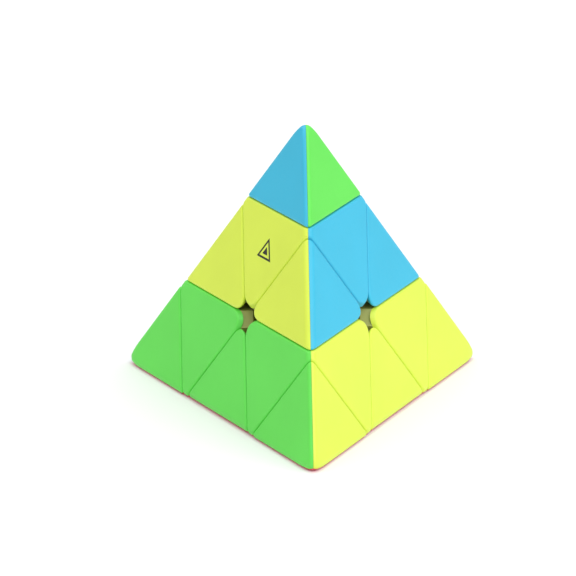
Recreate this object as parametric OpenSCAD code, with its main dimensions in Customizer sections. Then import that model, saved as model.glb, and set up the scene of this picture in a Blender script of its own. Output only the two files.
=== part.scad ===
// Pyramid twisty puzzle: four corner axes, six edge pieces, every piece a body under coloured caps.
//
// The origin is the centre of the core, where the four turning axes meet. +Z runs through the top
// corner and the front corner points to -Y. Every cut is a plane square to one of the four axes,
// or a sphere about the centre, so each layer turns on surfaces of revolution.

/* [Pyramid] */
// Edge length of the sharp pyramid, before its edges are blunted
edge_length = 98; // [94:1:104]
// Depth by which a pyramid edge is blunted
edge_flat = 1.1; // [0.6:0.1:1.5]
// Depth by which a corner of the pyramid is blunted
corner_flat = 3; // [2:0.5:4]

/* [Cuts] */
// Distance from the centre to each layer's cut plane
layer_cut = 6.7; // [6.6:0.1:7]
// Distance from the centre to the cut plane below each tip
tip_cut = 33.6; // [33.4:0.1:34.4]
// Distance from the centre to the cut planes between the feet, inside the foot sphere
foot_cut = 2; // [1.6:0.1:2.4]
// Radius of the sphere that the feet turn in, under the wings of the centre pieces
foot_r = 15.5; // [15:0.1:16]
// Rounding of the edge pieces' corners around the hole in the middle of each side
edge_hole_round = 3.6; // [3.2:0.2:4.2]
// Rounding of the centre pieces' corners around the same hole
centre_hole_round = 4.2; // [4:0.2:4.8]

/* [Fits] */
// Gap between pieces that turn past each other
layer_gap = 0.3; // [0.2:0.02:0.4]
// Gap between the coloured caps of one piece
seam_gap = 0.1; // [0.06:0.02:0.2]
// Radial clearance of a shaft in its bore
running = 0.08; // [0.04:0.01:0.1]
// Radial clearance of a cap's peg in its socket
peg_play = 0.05; // [0.02:0.01:0.08]

/* [Caps and walls] */
// Thickness of the coloured caps
cap_t = 1.3; // [1.1:0.1:1.6]
// Wall thickness of the hollow bodies
wall = 1.5; // [1.2:0.1:1.8]
// Radius of the pegs under the edge and centre caps
peg_r = 1.5; // [1.2:0.1:1.6]
// Length of the pegs under the edge and centre caps
peg_len = 4.1; // [3.6:0.1:4.2]
// Length of the bosses around those pegs
boss_len = 8; // [7:0.5:9]
// Radius of the two pegs under each tip cap
tip_peg_r = 0.9; // [0.8:0.05:1]
// Distance of each of those two pegs from the middle of the cap
tip_peg_x = 3.4; // [3.2:0.1:3.6]
// Length of the pegs under the tip caps
tip_peg_len = 2.5; // [2.1:0.1:2.7]

/* [Core] */
// Radius of the ball in the middle
core_r = 7; // [6.5:0.1:7]
// Radius of the hub around each arm's bore
hub_r = 6.8; // [6.4:0.1:7]
// Radius of the four arms that the centre pieces turn on
arm_r = 3; // [2.8:0.1:3.1]
// Distance from the centre to the end of an arm
arm_end = 28; // [26:0.5:28.4]

/* [Screw stack] */
// Radius of a screw's shank
screw_r = 1.25; // [1:0.05:1.3]
// Length of a screw's shank below its head
screw_len = 24; // [22:0.5:26]
// Radius of a screw's head
head_r = 2.7; // [2.4:0.1:2.8]
// Height of a screw's head
head_h = 1.8; // [1.4:0.1:2]
// Distance from the centre to the underside of the screw heads
head_level = 37.6; // [37:0.1:38]
// Thickness of the washer under each screw head
washer_t = 0.6; // [0.4:0.1:0.8]
// Radius of that washer
washer_r = 2.9; // [2.8:0.05:3]
// Radius of the spring pocket in each tip base
pocket_r = 3.3; // [3.2:0.05:3.4]
// Distance from the centre to the floor of the spring pocket
pocket_floor = 30.6; // [30.4:0.1:31]
// Radius of the neck that centres a tip in its centre piece
neck_r = 5; // [4.8:0.1:5.2]
// Distance from the centre to the bottom of the neck
neck_level = 29; // [28.8:0.1:29.4]
// Distance from the centre to the open top of a tip base
tip_base_top = 41.5; // [41:0.5:43]
// Radius of each spring, to the middle of its wire
coil_r = 2.2; // [2.1:0.05:2.4]
// Wire radius of the springs
wire_r = 0.35; // [0.3:0.05:0.4]
// Turns in each spring
spring_turns = 5; // [4:1:6]

/* [Hidden] */
$fn = 64;
CORNERS = ["top", "front", "right", "left"];
SIDES = ["bottom", "back", "left", "right"];
// Each edge piece: its name, the corner whose frame it is placed in, and its turn there
EDGES = [
    ["top_front", 0, 0], ["top_right", 0, 120], ["top_left", 0, 240],
    ["front_left", 1, 120], ["front_right", 1, 240], ["back", 2, 240]
];
// The side that each cap faces: three caps around a corner, two across an edge
CORNER_SIDES = [[1, 2, 3], [0, 3, 2], [0, 1, 3], [0, 2, 1]];
EDGE_SIDES = [[3, 2], [1, 3], [2, 1], [0, 2], [3, 0], [1, 0]];

BLUE = "#4fbfe6";
GREEN = "#6bdc5c";
YELLOW = "#e3f05a";
RED = "#ef4f6d";
GREY = "#abb161";
STEEL = "#c9ccd0";
// Cap colours by side (bottom, back, left, right): top tip, rest of the top layer, other pieces
TOP_TIP = [RED, YELLOW, BLUE, GREEN];
TOP_LAYER = [RED, GREEN, YELLOW, BLUE];
LOWER = [RED, BLUE, GREEN, YELLOW];

function tip_base_name(c) = str(CORNERS[c], "_tip_base");
function tip_cap_name(c, m) = str(CORNERS[c], "_tip_", SIDES[CORNER_SIDES[c][m]], "_cap");
function centre_body_name(c) = str(CORNERS[c], "_centre_body");
function centre_cap_name(c, m) = str(CORNERS[c], "_centre_", SIDES[CORNER_SIDES[c][m]], "_cap");
function edge_body_name(e) = str(EDGES[e][0], "_edge_body");
function edge_cap_name(e, m) = str(EDGES[e][0], "_edge_", SIDES[EDGE_SIDES[e][m]], "_cap");

// Angle between two axes, and the sharp pyramid's measures from its centre
axis_angle = acos(-1 / 3);
half_angle = axis_angle / 2;
face_d = edge_length / sqrt(24);
corner_d = 3 * face_d;
edge_d = edge_length / sqrt(8);
big = edge_length;
half_gap = layer_gap / 2;
// How far a bore runs past the end of what it cuts, and a shaft into what it joins
over = 1;
body_d = face_d - cap_t;
// How near the pegs stand to a corner: 0 on the far edge of a side, 1 at its corner
tip_peg_share = 0.72;
centre_peg_share = 5 / 9;
edge_peg_share = 0.16;
// How far a wedge's arc stands past its flanks, so that they cross cleanly instead of just touching
arc_overlap = 0.002;
// Distance from the centre to the flats that keep the centre bodies behind their caps' rounded corners
hole_flat = sqrt(3) * (layer_cut - centre_hole_round) + centre_hole_round * cos(half_angle / 2);

// ---- Frames ----

// Turns the top corner's frame onto another corner's
module at_corner(c) {
    if (c == 0) children();
    else rotate([axis_angle, 0, 120 * (c - 1)]) rotate([0, 0, 180]) children();
}

// The frame of an edge: +Z out through its middle, Y along it, X across it
module at_edge(e) at_corner(EDGES[e][1]) rotate([half_angle, 0, EDGES[e][2]]) children();

// In a corner's frame, the frame of the side at its back: +Z out of the side, Y away from the corner
module at_back_side() rotate([axis_angle - 180, 0, 0]) children();

// In an edge's frame, the frame of the side at its +X: +Z out of the side, X away from the edge
module at_cross_side() rotate([0, half_angle, 0]) children();

// ---- Zones that the cuts leave ----

module below(level) translate([-big, -big, level - 2 * big]) cube(2 * big);
module above(level) translate([-big, -big, level]) cube(2 * big);

// Wedge along X that opens upwards from apex, between two cut planes, with a rounded apex
module wedge(apex, round_r) {
    slope = 90 - half_angle;
    middle = apex + round_r / sin(slope);
    tangent = [round_r * cos(slope), middle - round_r * sin(slope)];
    far = [big * tan(slope), apex + big];
    rotate([90, 0, 90]) linear_extrude(2 * big, center = true) {
        if (round_r > 0) translate([0, middle]) circle(round_r + arc_overlap);
        polygon([tangent, far, [-far[0], far[1]], [-tangent[0], tangent[1]]]);
    }
}

// Distance from the centre to the line where two cut planes at this level meet
function ridge(level) = level * sqrt(3);

// What lies below the three other corners' cut planes, in a corner's frame
module corner_zone(level) intersection_for (m = [0:2]) rotate([axis_angle, 0, 120 * m]) below(level);

// What lies below the two cut planes that meet at the hole in a corner's back side
module hole_zone(level, round_r) rotate([half_angle, 0, 0]) rotate([0, 0, 90])
    wedge(-ridge(level), round_r);

// What lies above the cut planes of an edge's two corners, in the edge's frame
module edge_zone(level, round_r) wedge(ridge(level), round_r);

// What lies inside the three sides around a corner, each at this distance from the centre
module corner_sides(distance) intersection_for (m = [0:2])
    rotate([0, 0, 120 * m]) at_back_side() below(distance);

// What lies inside the two sides beside an edge, each at this distance from the centre
module edge_sides(distance) intersection_for (m = [0, 1])
    rotate([0, 0, 180 * m]) at_cross_side() below(distance);

// The layer of a side that its caps fill
module cap_layer() translate([-big, -big, body_d]) cube([2 * big, 2 * big, cap_t]);

// ---- Pegs that hold the caps ----

// Distance along a side from its middle to a point that has this share of a corner
function side_offset(share) = edge_length * (3 * share - 1) / sqrt(12);

// A peg below the cap layer of a side, at a point of the side's own frame
module peg(point, r, length)
    translate([point[0], point[1], body_d - length]) cylinder(length + cap_t / 2, r, r);

module centre_pegs(grow, length) peg([0, -side_offset(centre_peg_share)], peg_r + grow, length);
module edge_pegs(grow, length) peg([side_offset(edge_peg_share), 0], peg_r + grow, length);
module tip_pegs(grow) for (x = [-1, 1])
    peg([x * tip_peg_x, -side_offset(tip_peg_share)], tip_peg_r + grow, tip_peg_len + grow);

// ---- Core and screw stacks ----

module core() color(GREY) difference() {
    union() {
        sphere(core_r);
        for (c = [0:3]) at_corner(c)
            translate([0, 0, core_r - wall]) cylinder(arm_end - core_r + wall, arm_r, arm_r);
    }
    for (c = [0:3]) at_corner(c) translate([0, 0, head_level - screw_len - over])
        cylinder(arm_end, screw_r + peg_play, screw_r + peg_play);
}

module axis_screws() color(STEEL) for (c = [0:3]) at_corner(c) difference() {
    union() {
        translate([0, 0, head_level - screw_len]) cylinder(screw_len + head_h / 2, screw_r, screw_r);
        translate([0, 0, head_level]) cylinder(head_h, head_r, head_r);
    }
    translate([0, 0, head_level + head_h / 3]) cylinder(head_h, head_r / 2, head_r / 2, $fn = 6);
}

module spring_washers() color(STEEL) for (c = [0:3]) at_corner(c)
    translate([0, 0, head_level - washer_t]) difference() {
        cylinder(washer_t, washer_r, washer_r);
        translate([0, 0, -over]) cylinder(washer_t + 2 * over, screw_r + running, screw_r + running);
    }

// One coil spring, swept along its helix from the pocket's floor to the washer
module spring() {
    sides = 6;
    steps = 12 * spring_turns;
    play = 0.02;
    foot = pocket_floor + wire_r + play;
    rise = head_level - washer_t - wire_r - play - foot;
    points = [
        for (i = [0:steps], k = [0:sides - 1])
            let (turn = 360 * spring_turns * i / steps, around = 360 * k / sides)
            let (out = coil_r + wire_r * cos(around))
            [out * cos(turn), out * sin(turn), foot + rise * i / steps + wire_r * sin(around)]
    ];
    tube = [
        for (i = [0:steps - 1], k = [0:sides - 1])
            let (a = i * sides + k, b = i * sides + (k + 1) % sides)
            [a, a + sides, b + sides, b]
    ];
    ends = [[for (k = [0:sides - 1]) k], [for (k = [0:sides - 1]) (steps + 1) * sides - 1 - k]];
    polyhedron(points, concat(tube, ends));
}

module tension_springs() color(STEEL) for (c = [0:3]) at_corner(c) spring();

// ---- Tips ----

module tip_base(c) color(GREY) at_corner(c) difference() {
    union() {
        intersection() {
            corner_sides(body_d);
            above(tip_cut + half_gap);
            below(tip_base_top);
        }
        translate([0, 0, neck_level]) cylinder(tip_cut + over - neck_level, neck_r, neck_r);
    }
    translate([0, 0, pocket_floor]) cylinder(big, pocket_r, pocket_r);
    cylinder(big, screw_r + layer_gap, screw_r + layer_gap);
    for (m = [0:2]) rotate([0, 0, 120 * m]) at_back_side() tip_pegs(peg_play);
}

// The sector of one cap about a corner's axis, between its two seams
module cap_sector() {
    start = seam_gap / sqrt(3);
    linear_extrude(2 * big)
        polygon([[0, start], [big * sin(60), start + big / 2], [-big * sin(60), start + big / 2]]);
}

// Blunts the three pyramid edges that meet at a corner
module blunted() intersection_for (m = [0:2])
    rotate([half_angle, 0, 120 * m]) below(edge_d - edge_flat);

module tip_cap(c, m) color((c == 0 ? TOP_TIP : LOWER)[CORNER_SIDES[c][m]])
    at_corner(c) rotate([0, 0, 120 * m]) {
        intersection() {
            at_back_side() cap_layer();
            cap_sector();
            blunted();
            above(tip_cut + half_gap);
            below(corner_d - corner_flat);
        }
        at_back_side() tip_pegs(0);
    }

// ---- Centre pieces ----

// The ball that the feet turn in, with its seam on the other side at every second corner
module foot_ball(c, r) rotate([0, 0, 180 * c]) sphere(r);

// The wings of a centre piece, out to a distance from the centre, drawn in by an inset
module centre_wings(c, inset, distance) difference() {
    intersection() {
        corner_zone(layer_cut - half_gap - inset);
        intersection_for (m = [0:2]) rotate([half_angle - 180, 0, 120 * m]) below(hole_flat - inset);
        corner_sides(distance);
        above(layer_cut + half_gap + inset);
        below(tip_cut - half_gap - inset);
    }
    foot_ball(c, foot_r + half_gap + inset);
}

module centre_body(c) color(GREY) at_corner(c) difference() {
    union() {
        difference() {
            centre_wings(c, 0, body_d);
            difference() {
                centre_wings(c, wall, face_d);
                cylinder(tip_cut, hub_r, hub_r);
                for (m = [0:2]) rotate([0, 0, 120 * m]) at_back_side() centre_pegs(wall, boss_len);
            }
        }
        intersection() {
            corner_zone(foot_cut - half_gap);
            above(foot_cut + half_gap);
            sphere(foot_r + wall);
        }
    }
    sphere(core_r + layer_gap);
    cylinder(tip_cut, arm_r + running, arm_r + running);
    translate([0, 0, neck_level - running]) cylinder(big, neck_r + running, neck_r + running);
    for (m = [0:2]) rotate([0, 0, 120 * m]) at_back_side() centre_pegs(peg_play, peg_len + peg_play);
}

module centre_cap(c, m) color((c == 0 ? TOP_LAYER : LOWER)[CORNER_SIDES[c][m]])
    at_corner(c) rotate([0, 0, 120 * m]) {
        intersection() {
            at_back_side() cap_layer();
            cap_sector();
            blunted();
            hole_zone(layer_cut - half_gap, centre_hole_round);
            below(tip_cut - half_gap);
        }
        at_back_side() centre_pegs(0, peg_len);
    }

// ---- Edge pieces ----

module edge_body(e) color(GREY) at_edge(e) difference() {
    union() {
        difference() {
            intersection() {
                edge_zone(layer_cut + half_gap, edge_hole_round);
                edge_sides(body_d);
            }
            difference() {
                intersection() {
                    edge_zone(layer_cut + half_gap + wall, edge_hole_round - wall);
                    edge_sides(face_d);
                }
                sphere(foot_r + wall);
                for (m = [0, 1]) rotate([0, 0, 180 * m]) at_cross_side() edge_pegs(wall, boss_len);
            }
        }
        intersection() {
            edge_zone(foot_cut + half_gap, 0);
            rotate([0, 0, 90]) wedge(-ridge(foot_cut - half_gap), 0);
            sphere(foot_r - half_gap);
        }
    }
    sphere(core_r + layer_gap);
    for (m = [0, 1]) rotate([0, 0, 180 * m]) at_cross_side() edge_pegs(peg_play, peg_len + peg_play);
}

module edge_cap(e, m) color((e < 3 ? TOP_LAYER : LOWER)[EDGE_SIDES[e][m]])
    at_edge(e) rotate([0, 0, 180 * m]) {
        intersection() {
            at_cross_side() cap_layer();
            translate([seam_gap / 2, -big, 0]) cube(2 * big);
            below(edge_d - edge_flat);
            edge_zone(layer_cut + half_gap, edge_hole_round);
        }
        at_cross_side() edge_pegs(0, peg_len);
    }

core();
axis_screws();
spring_washers();
tension_springs();
for (c = [0:3]) {
    tip_base(c);
    centre_body(c);
    for (m = [0:2]) {
        tip_cap(c, m);
        centre_cap(c, m);
    }
}
for (e = [0:5]) {
    edge_body(e);
    for (m = [0, 1]) edge_cap(e, m);
}
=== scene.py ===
"""Looks of the pyramid twisty puzzle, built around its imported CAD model.

Every coloured cap is rebuilt here as a rounded shell. The outside of a whole piece, such as a tip, is
made first, with its rounded pyramid edges, hole corners and rims, and is then split into its caps.
Lengths are in millimetres in the row frame until a mesh is finished, and then in metres.
"""
import math

import bmesh
import bpy
from mathutils import Matrix, Vector


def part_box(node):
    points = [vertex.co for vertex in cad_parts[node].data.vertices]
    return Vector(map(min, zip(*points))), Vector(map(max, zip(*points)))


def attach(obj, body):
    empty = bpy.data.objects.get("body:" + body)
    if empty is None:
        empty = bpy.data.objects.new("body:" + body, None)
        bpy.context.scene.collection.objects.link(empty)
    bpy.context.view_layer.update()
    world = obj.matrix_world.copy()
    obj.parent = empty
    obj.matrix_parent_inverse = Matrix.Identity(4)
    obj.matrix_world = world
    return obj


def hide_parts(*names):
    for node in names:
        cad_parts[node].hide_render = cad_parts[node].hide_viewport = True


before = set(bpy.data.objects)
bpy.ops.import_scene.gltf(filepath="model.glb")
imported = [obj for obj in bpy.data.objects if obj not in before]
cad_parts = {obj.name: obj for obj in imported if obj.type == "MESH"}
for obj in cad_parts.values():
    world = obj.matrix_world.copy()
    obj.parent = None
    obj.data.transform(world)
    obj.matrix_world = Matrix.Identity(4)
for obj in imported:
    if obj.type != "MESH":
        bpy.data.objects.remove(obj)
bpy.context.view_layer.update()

MM = 0.001

# ---- Sizes: the driving ones are read from the frame ----


def low_z(node):
    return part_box(node)[0].z / MM


def high_z(node):
    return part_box(node)[1].z / MM


FACE_D = -low_z("front_centre_bottom_cap")
BODY_D = -low_z("front_centre_body")
TIP_CUT = (low_z("top_tip_back_cap") + high_z("top_centre_back_cap")) / 2
HALF_GAP = low_z("top_tip_back_cap") - TIP_CUT
LAYER_CUT = low_z("top_front_edge_left_cap") - HALF_GAP

# The caps nearly meet, a little outside the middle of the gaps between the bodies under them
CAP_HALF_GAP = 0.06
TIP_SEAM = TIP_CUT + 0.12
LAYER_SEAM = LAYER_CUT + 0.08
ABOVE_TIP_CUT, BELOW_TIP_CUT = TIP_SEAM + CAP_HALF_GAP, TIP_SEAM - CAP_HALF_GAP
ABOVE_LAYER_CUT, BELOW_LAYER_CUT = LAYER_SEAM + CAP_HALF_GAP, LAYER_SEAM - CAP_HALF_GAP

SEAM_GAP = 0.06
# How far the side caps lap round the bottom edges, past the middle of their rounding
BOTTOM_LAP = 0.1
# How far each corner of the pyramid is pressed in, and how far from its sharp point that begins
CORNER_PRESS = 1.0
CORNER_REACH = 7.5
CORNER_RINGS = 7
# Rounding of the pyramid's edges on each kind of piece, of the corners at the holes, and of the rims
TIP_EDGE_ROUND = 1.5
CENTRE_EDGE_ROUND = 1.8
OUTER_EDGE_ROUND = 1.95
EDGE_HOLE_ROUND = 3.6
CENTRE_HOLE_ROUND = 4.2
RIM_ROUND = 0.7
CENTRE_RIM_ROUND = 0.6
# Steps round each of these roundings
HOLE_STEPS, EDGE_STEPS, RIM_STEPS = 14, 10, 5
# Half the side of the block that pieces are cut from, and how near a plane a point counts as on it
FAR = 4 * FACE_D
ON_PLANE = 1e-5
# Edges that turn more sharply than this are true corners, and aren't shaded smooth
TRUE_CORNER = math.radians(40)

# The small emblem: its place on its cap, its size, the width of its line and its thickness
MARK_UP, MARK_RIGHT = 18.0, 0.7
MARK_R = 3.8
MARK_LINE = 1.1
MARK_CORE = 0.36
MARK_THICK = 0.02

# ---- Directions: four corner axes, and the outward normals of the sides across from them ----

THIRD = 1 / 3
AXES = {
    "top": Vector((0, 0, 1)),
    "front": Vector((0, -math.sqrt(8) * THIRD, -THIRD)),
    "right": Vector((math.sqrt(2 / 3), math.sqrt(2) * THIRD, -THIRD)),
    "left": Vector((-math.sqrt(2 / 3), math.sqrt(2) * THIRD, -THIRD)),
}
ACROSS = {"top": "bottom", "front": "back", "right": "left", "left": "right"}
NORMALS = {side: -AXES[corner] for corner, side in ACROSS.items()}
EDGES = {
    "top_front": ("top", "front"), "top_right": ("top", "right"), "top_left": ("top", "left"),
    "front_left": ("front", "left"), "front_right": ("front", "right"), "back": ("right", "left"),
}

TOP_TIP = {"back": "yellow", "left": "blue", "right": "green"}
TOP_LAYER = {"back": "green", "left": "yellow", "right": "blue"}
LOWER = {"bottom": "red", "back": "blue", "left": "green", "right": "yellow"}

# Angles inside the plastic where a cut meets a side: sharp on tips and edge pieces, blunt on centres
SHARP = math.acos(THIRD)
BLUNT = math.pi - SHARP


def sides_at(*corners):
    """The sides that meet at these corners."""
    return [side for corner, side in ACROSS.items() if corner not in corners]


# ---- Convex solids from half spaces ----

# What a face is: the outside of the puzzle, the wall of a cut, or a face that closes a cap behind
OUTSIDE, WALL, CLOSING = 1, 2, 3


def bisect(bm, normal, distance, clear_outer=False):
    """Cuts the mesh along the plane, drops what is beyond it if asked, and returns what is on it."""
    everything = bm.verts[:] + bm.edges[:] + bm.faces[:]
    return bmesh.ops.bisect_plane(
        bm, geom=everything, dist=ON_PLANE, plane_co=normal * distance, plane_no=normal,
        clear_outer=clear_outer,
    )["geom_cut"]


def clip(bm, normal, distance, role):
    """Cuts off what lies beyond the plane, and closes the cut with a face of that role."""
    cut = bisect(bm, normal, distance, clear_outer=True)
    rim = [e for e in cut if isinstance(e, bmesh.types.BMEdge)]
    if rim:
        for face in bmesh.ops.contextual_create(bm, geom=rim)["faces"]:
            face[bm.faces.layers.int["role"]] = role


def edges_between(bm, role_a, role_b):
    layer = bm.faces.layers.int["role"]
    wanted = sorted((role_a, role_b))
    return [e for e in bm.edges if sorted(f[layer] for f in e.link_faces) == wanted]


def round_edges(bm, edges, radius, angle, steps, role):
    """Rounds edges to a radius, where the faces beside them meet at this angle inside the plastic."""
    made = bmesh.ops.bevel(
        bm, geom=edges, offset=radius / math.tan(angle / 2), offset_type="OFFSET", segments=steps,
        profile=0.5, affect="EDGES", clamp_overlap=False,
    )
    for face in made["faces"]:
        face[bm.faces.layers.int["role"]] = role


def rounded_piece(planes, rim_angle, rim_round, edge_round, hole_round=0):
    """The solid inside planes, each (outward normal, distance from the centre, role), then rounded
    where two cuts meet at a hole, where two sides meet, and last along the rims of the sides."""
    bm = bmesh.new()
    bm.faces.layers.int.new("role")
    bmesh.ops.create_cube(bm, size=2 * FAR)
    for normal, distance, role in planes:
        clip(bm, normal, distance, role)
    if hole_round:
        round_edges(bm, edges_between(bm, WALL, WALL), hole_round, SHARP, HOLE_STEPS, WALL)
    round_edges(bm, edges_between(bm, OUTSIDE, OUTSIDE), edge_round, SHARP, EDGE_STEPS, OUTSIDE)
    round_edges(bm, edges_between(bm, OUTSIDE, WALL), rim_round, rim_angle, RIM_STEPS, OUTSIDE)
    return bm


def press_corner(bm, axis):
    """Presses a pyramid corner in along its axis, more and more towards its point."""
    start = 3 * FACE_D - CORNER_REACH
    top = max(v.co.dot(axis) for v in bm.verts)
    for ring in range(CORNER_RINGS):
        level = start + (top - start) * ring / CORNER_RINGS
        bisect(bm, axis, level)
    for vert in bm.verts:
        share = max(0, (vert.co.dot(axis) - start) / (top - start))
        vert.co -= axis * CORNER_PRESS * share ** 2


def tip_piece(corner):
    planes = [(NORMALS[s], FACE_D, OUTSIDE) for s in sides_at(corner)]
    planes += [(-AXES[corner], -ABOVE_TIP_CUT, WALL)]
    bm = rounded_piece(planes, SHARP, RIM_ROUND, TIP_EDGE_ROUND)
    press_corner(bm, AXES[corner])
    return bm


def centre_piece(corner):
    planes = [(NORMALS[s], FACE_D, OUTSIDE) for s in sides_at(corner)]
    planes += [(AXES[c], BELOW_LAYER_CUT, WALL) for c in AXES if c != corner]
    planes += [(AXES[corner], BELOW_TIP_CUT, WALL), (-AXES[corner], 0, CLOSING)]
    return rounded_piece(planes, BLUNT, CENTRE_RIM_ROUND, CENTRE_EDGE_ROUND, CENTRE_HOLE_ROUND)


def edge_piece(edge):
    planes = [(NORMALS[s], FACE_D, OUTSIDE) for s in sides_at(*EDGES[edge])]
    planes += [(-AXES[c], -ABOVE_LAYER_CUT, WALL) for c in EDGES[edge]]
    return rounded_piece(planes, SHARP, RIM_ROUND, OUTER_EDGE_ROUND, EDGE_HOLE_ROUND)


# ---- Caps ----


def finished_object(name, bm):
    """An object from a mesh in millimetres, smooth but for its true corners."""
    bmesh.ops.transform(bm, matrix=Matrix.Scale(MM, 4), verts=bm.verts[:])
    mesh = bpy.data.meshes.new(name)
    bm.to_mesh(mesh)
    bm.free()
    mesh.shade_smooth()
    mesh.set_sharp_from_angle(angle=TRUE_CORNER)
    obj = bpy.data.objects.new(name, mesh)
    bpy.context.scene.collection.objects.link(obj)
    weighted = obj.modifiers.new("weighted_normals", "WEIGHTED_NORMAL")
    weighted.keep_sharp = True
    return obj


def seam_level(side, other):
    """Where a cap ends at the seam beside another cap, along the normal that points to the other."""
    lap = {side: -BOTTOM_LAP, other: BOTTOM_LAP}.get("bottom", 0)
    return lap - SEAM_GAP / 2


def add_caps(piece, whole, body, sides, colours):
    """Splits a whole piece into the cap on each of its sides, which replaces the CAD node."""
    for side in sides:
        bm = whole.copy()
        for other in sides:
            if other != side:
                towards = (NORMALS[other] - NORMALS[side]).normalized()
                clip(bm, towards, seam_level(side, other), CLOSING)
        clip(bm, -NORMALS[side], -BODY_D, CLOSING)
        node = f"{piece}_{side}_cap"
        cap = finished_object(node + "_shell", bm)
        cap.data.materials.append(CAP_PLASTIC[colours[side]])
        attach(cap, body)
        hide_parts(node)
    whole.free()


# ---- Materials ----

# The range that most of a noise lies in
NOISE_LOW, NOISE_HIGH = 0.3, 0.7
# Scales of the noises in the plastic: the clouds of its flow, its changes in gloss, and its frosting
FLOW_SCALE, GLOSS_SCALE, FROST_SCALE = 55, 900, 5200
# How much the plastic's colour and roughness vary, and the depth of its frosting in metres
FLOW_CHANGE, GLOSS_CHANGE = 0.03, 0.04
FROST_STRENGTH, FROST_DEPTH = 0.06, 0.00002
PLASTIC_IOR = 1.49


def node_material(name):
    material = bpy.data.materials.new(name)
    material.use_nodes = True
    nodes = material.node_tree.nodes
    return material, nodes, material.node_tree.links, nodes["Principled BSDF"]


def noise(nodes, links, coordinates, scale, detail):
    texture = nodes.new("ShaderNodeTexNoise")
    texture.inputs["Scale"].default_value = scale
    texture.inputs["Detail"].default_value = detail
    links.new(coordinates.outputs["Object"], texture.inputs["Vector"])
    return texture


def mapped(nodes, links, source, low, high):
    """Maps a noise onto the range from low to high."""
    remap = nodes.new("ShaderNodeMapRange")
    remap.inputs["From Min"].default_value = NOISE_LOW
    remap.inputs["From Max"].default_value = NOISE_HIGH
    remap.inputs["To Min"].default_value = low
    remap.inputs["To Max"].default_value = high
    links.new(source.outputs["Fac"], remap.inputs["Value"])
    return remap


def plastic(name, colour, roughness):
    """Moulded plastic: clouded a little by its flow, finely frosted, and softly shiny."""
    material, nodes, links, shader = node_material(name)
    coordinates = nodes.new("ShaderNodeTexCoord")
    flow_noise = noise(nodes, links, coordinates, FLOW_SCALE, 3)
    flow = mapped(nodes, links, flow_noise, 1 - FLOW_CHANGE, 1 + FLOW_CHANGE)
    tint = nodes.new("ShaderNodeVectorMath")
    tint.operation = "SCALE"
    tint.inputs[0].default_value = colour
    links.new(flow.outputs["Result"], tint.inputs["Scale"])
    links.new(tint.outputs["Vector"], shader.inputs["Base Color"])
    frost = noise(nodes, links, coordinates, FROST_SCALE, 2)
    gloss_noise = noise(nodes, links, coordinates, GLOSS_SCALE, 4)
    gloss = mapped(nodes, links, gloss_noise, roughness - GLOSS_CHANGE, roughness + GLOSS_CHANGE)
    links.new(gloss.outputs["Result"], shader.inputs["Roughness"])
    bump = nodes.new("ShaderNodeBump")
    bump.inputs["Strength"].default_value = FROST_STRENGTH
    bump.inputs["Distance"].default_value = FROST_DEPTH
    links.new(frost.outputs["Fac"], bump.inputs["Height"])
    links.new(bump.outputs["Normal"], shader.inputs["Normal"])
    shader.inputs["IOR"].default_value = PLASTIC_IOR
    return material


def grey_colour(nodes, links, tone):
    colour = nodes.new("ShaderNodeCombineColor")
    for channel in ("Red", "Green", "Blue"):
        links.new(tone.outputs["Result"], colour.inputs[channel])
    return colour


def zinc_plated_steel():
    material, nodes, links, shader = node_material("zinc_plated_steel")
    coordinates = nodes.new("ShaderNodeTexCoord")
    cloud = mapped(nodes, links, noise(nodes, links, coordinates, 700, 5), 0.22, 0.4)
    links.new(cloud.outputs["Result"], shader.inputs["Roughness"])
    tone = mapped(nodes, links, noise(nodes, links, coordinates, 300, 2), 0.55, 0.68)
    links.new(grey_colour(nodes, links, tone).outputs["Color"], shader.inputs["Base Color"])
    shader.inputs["Metallic"].default_value = 1.0
    return material


CAP_ROUGHNESS = 0.42
CAP_PLASTIC = {
    "blue": plastic("blue_cap_plastic", (0.042, 0.50, 0.73), CAP_ROUGHNESS),
    "green": plastic("green_cap_plastic", (0.13, 0.75, 0.088), CAP_ROUGHNESS),
    "yellow": plastic("yellow_cap_plastic", (0.72, 0.87, 0.08), CAP_ROUGHNESS),
    "red": plastic("red_cap_plastic", (0.80, 0.06, 0.11), CAP_ROUGHNESS),
}
# The mechanism's own plastic is grey. The olive tint in this colour is painted yellow and green light,
# bounced off the caps into the holes.
MECHANISM_WITH_PAINTED_BOUNCE = plastic("mechanism_plastic_with_painted_bounce", (0.41, 0.44, 0.12), 0.5)
STEEL = zinc_plated_steel()

# ---- The puzzle ----

for corner in AXES:
    top = corner == "top"
    sides = sides_at(corner)
    add_caps(f"{corner}_tip", tip_piece(corner), f"{corner}_tip", sides, TOP_TIP if top else LOWER)
    add_caps(
        f"{corner}_centre", centre_piece(corner), f"{corner}_centre", sides, TOP_LAYER if top else LOWER
    )
for edge, corners in EDGES.items():
    colours = TOP_LAYER if "top" in corners else LOWER
    add_caps(f"{edge}_edge", edge_piece(edge), f"{edge}_edge", sides_at(*corners), colours)


def flat_ring(centre, right, up, outer, inner):
    """Points of a triangle's outline, or of a filled triangle where inner is 0, point upwards."""
    rings = [outer] + ([inner] if inner else [])
    angles = [math.radians(90 + 120 * k) for k in range(3)]
    return [[centre + (right * math.cos(a) + up * math.sin(a)) * r for a in angles] for r in rings]


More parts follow.
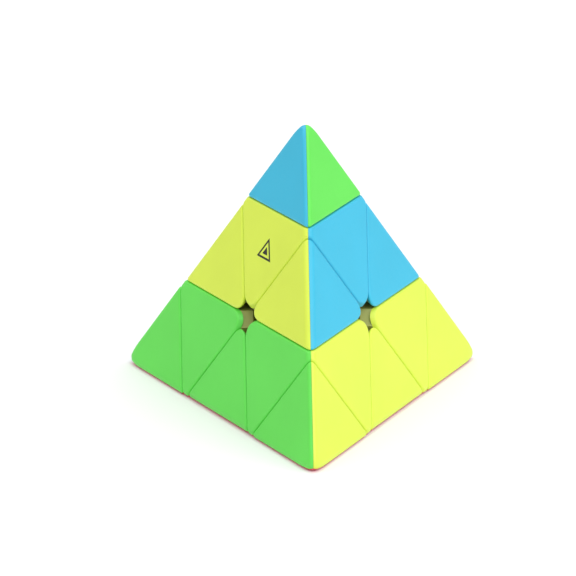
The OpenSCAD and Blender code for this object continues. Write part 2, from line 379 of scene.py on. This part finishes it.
def add_maker_mark():
    """A small plain emblem printed on one cap: a triangle in a triangle."""
    normal = NORMALS["left"]
    up = (AXES["top"] - normal * AXES["top"].dot(normal)).normalized()
    right = up.cross(normal)
    centre = normal * FACE_D + up * MARK_UP + right * MARK_RIGHT
    bm = bmesh.new()
    for outer, inner in ((MARK_R, MARK_R - MARK_LINE), (MARK_R * MARK_CORE, 0)):
        rings = flat_ring(centre, right, up, outer, inner)
        levels = [[[bm.verts.new(p + normal * h) for p in ring] for ring in rings] for h in (0, MARK_THICK)]
        for k in range(3):
            j = (k + 1) % 3
            low, high = levels
            bm.faces.new((low[0][k], low[0][j], high[0][j], high[0][k]))
            if inner:
                bm.faces.new((low[1][j], low[1][k], high[1][k], high[1][j]))
                bm.faces.new((high[0][k], high[0][j], high[1][j], high[1][k]))
                bm.faces.new((low[0][j], low[0][k], low[1][k], low[1][j]))
        if not inner:
            bm.faces.new(high[0])
            bm.faces.new(low[0][::-1])
    bmesh.ops.recalc_face_normals(bm, faces=bm.faces[:])
    mark = finished_object("maker_mark", bm)
    mark.data.materials.append(plastic("mark_ink", (0.015, 0.02, 0.01), 0.45))
    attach(mark, "top_centre")


add_maker_mark()

FASTENERS = ("axis_screws", "spring_washers", "tension_springs")
for name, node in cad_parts.items():
    if not node.hide_render:
        node.data.materials.clear()
        node.data.materials.append(STEEL if name in FASTENERS else MECHANISM_WITH_PAINTED_BOUNCE)

# ---- Floor, light and camera ----

# Half the floor's side, how far it stays below the puzzle, and how near counts as touching, in metres
FLOOR_HALF = 4.0
FLOOR_DROP = 0.00002
CONTACT = 0.0002


def floor_material():
    """White on top, but clear from below and to the face that rests on it, so that the puzzle can also
    be seen, and lit, from under it."""
    material, nodes, links, shader = node_material("white_floor")
    coordinates = nodes.new("ShaderNodeTexCoord")
    tone = mapped(nodes, links, noise(nodes, links, coordinates, 3, 2), 0.89, 0.9)
    links.new(grey_colour(nodes, links, tone).outputs["Color"], shader.inputs["Base Color"])
    shader.inputs["Roughness"].default_value = 0.9
    clear = nodes.new("ShaderNodeBsdfTransparent")
    geometry = nodes.new("ShaderNodeNewGeometry")
    touching = nodes.new("ShaderNodeMath")
    touching.operation = "LESS_THAN"
    links.new(nodes.new("ShaderNodeLightPath").outputs["Ray Length"], touching.inputs[0])
    touching.inputs[1].default_value = CONTACT
    either = nodes.new("ShaderNodeMath")
    either.operation = "MAXIMUM"
    links.new(geometry.outputs["Backfacing"], either.inputs[0])
    links.new(touching.outputs["Value"], either.inputs[1])
    mix = nodes.new("ShaderNodeMixShader")
    links.new(either.outputs["Value"], mix.inputs["Fac"])
    links.new(shader.outputs["BSDF"], mix.inputs[1])
    links.new(clear.outputs["BSDF"], mix.inputs[2])
    links.new(mix.outputs["Shader"], nodes["Material Output"].inputs["Surface"])
    return material


def add_floor():
    level = -FACE_D * MM - FLOOR_DROP
    mesh = bpy.data.meshes.new("floor")
    signs = ((-1, -1), (1, -1), (1, 1), (-1, 1))
    corners = [(x * FLOOR_HALF, y * FLOOR_HALF, level) for x, y in signs]
    mesh.from_pydata(corners, [], [(0, 1, 2, 3)])
    floor = bpy.data.objects.new("floor", mesh)
    floor.data.materials.append(floor_material())
    bpy.context.scene.collection.objects.link(floor)


def add_soft_sun(name, direction, spread, strength):
    """Light from a patch of the sky, so many degrees wide, around a direction."""
    light = bpy.data.lights.new(name, "SUN")
    light.angle = math.radians(spread)
    light.energy = strength
    obj = bpy.data.objects.new(name, light)
    obj.rotation_euler = Vector(direction).to_track_quat("Z", "Y").to_euler()
    bpy.context.scene.collection.objects.link(obj)


def add_world(strength):
    world = bpy.data.worlds.new("studio")
    world.use_nodes = True
    background = world.node_tree.nodes["Background"]
    background.inputs["Color"].default_value = (1, 1, 1, 1)
    background.inputs["Strength"].default_value = strength
    bpy.context.scene.world = world


# The camera: its direction from the puzzle, its distance, and its lens in millimetres
AZIMUTH, ELEVATION, ROLL = math.radians(-1.92), math.radians(20.59), math.radians(-0.08)
DISTANCE = 1434
LENS = 336.8
# Where the camera aims, from the middle of the bottom side: to its right, and up its picture
AIM_RIGHT, AIM_UP = -4.71, 28.79


def add_camera():
    outward = Vector((math.sin(AZIMUTH), -math.cos(AZIMUTH), 0))
    back = outward * math.cos(ELEVATION) + Vector((0, 0, math.sin(ELEVATION)))
    level_right = Vector((math.cos(AZIMUTH), math.sin(AZIMUTH), 0))
    level_up = back.cross(level_right)
    right = level_right * math.cos(ROLL) + level_up * math.sin(ROLL)
    up = back.cross(right)
    place = back * DISTANCE + right * AIM_RIGHT + up * AIM_UP + Vector((0, 0, -FACE_D))
    data = bpy.data.cameras.new("camera")
    data.lens = LENS
    data.clip_start, data.clip_end = 0.1, 20
    camera = bpy.data.objects.new("camera", data)
    rotation = Matrix((right, up, back)).transposed()
    camera.matrix_world = Matrix.Translation(place * MM) @ rotation.to_4x4()
    bpy.context.scene.collection.objects.link(camera)
    bpy.context.scene.camera = camera


add_floor()
add_world(strength=0.3)
add_soft_sun("overhead", direction=(0, 0, 1), spread=120, strength=2.45)
add_soft_sun("key", direction=(0.6, -0.5, 0.63), spread=70, strength=1.0)
add_camera()
bpy.context.scene.view_settings.view_transform = "Standard"
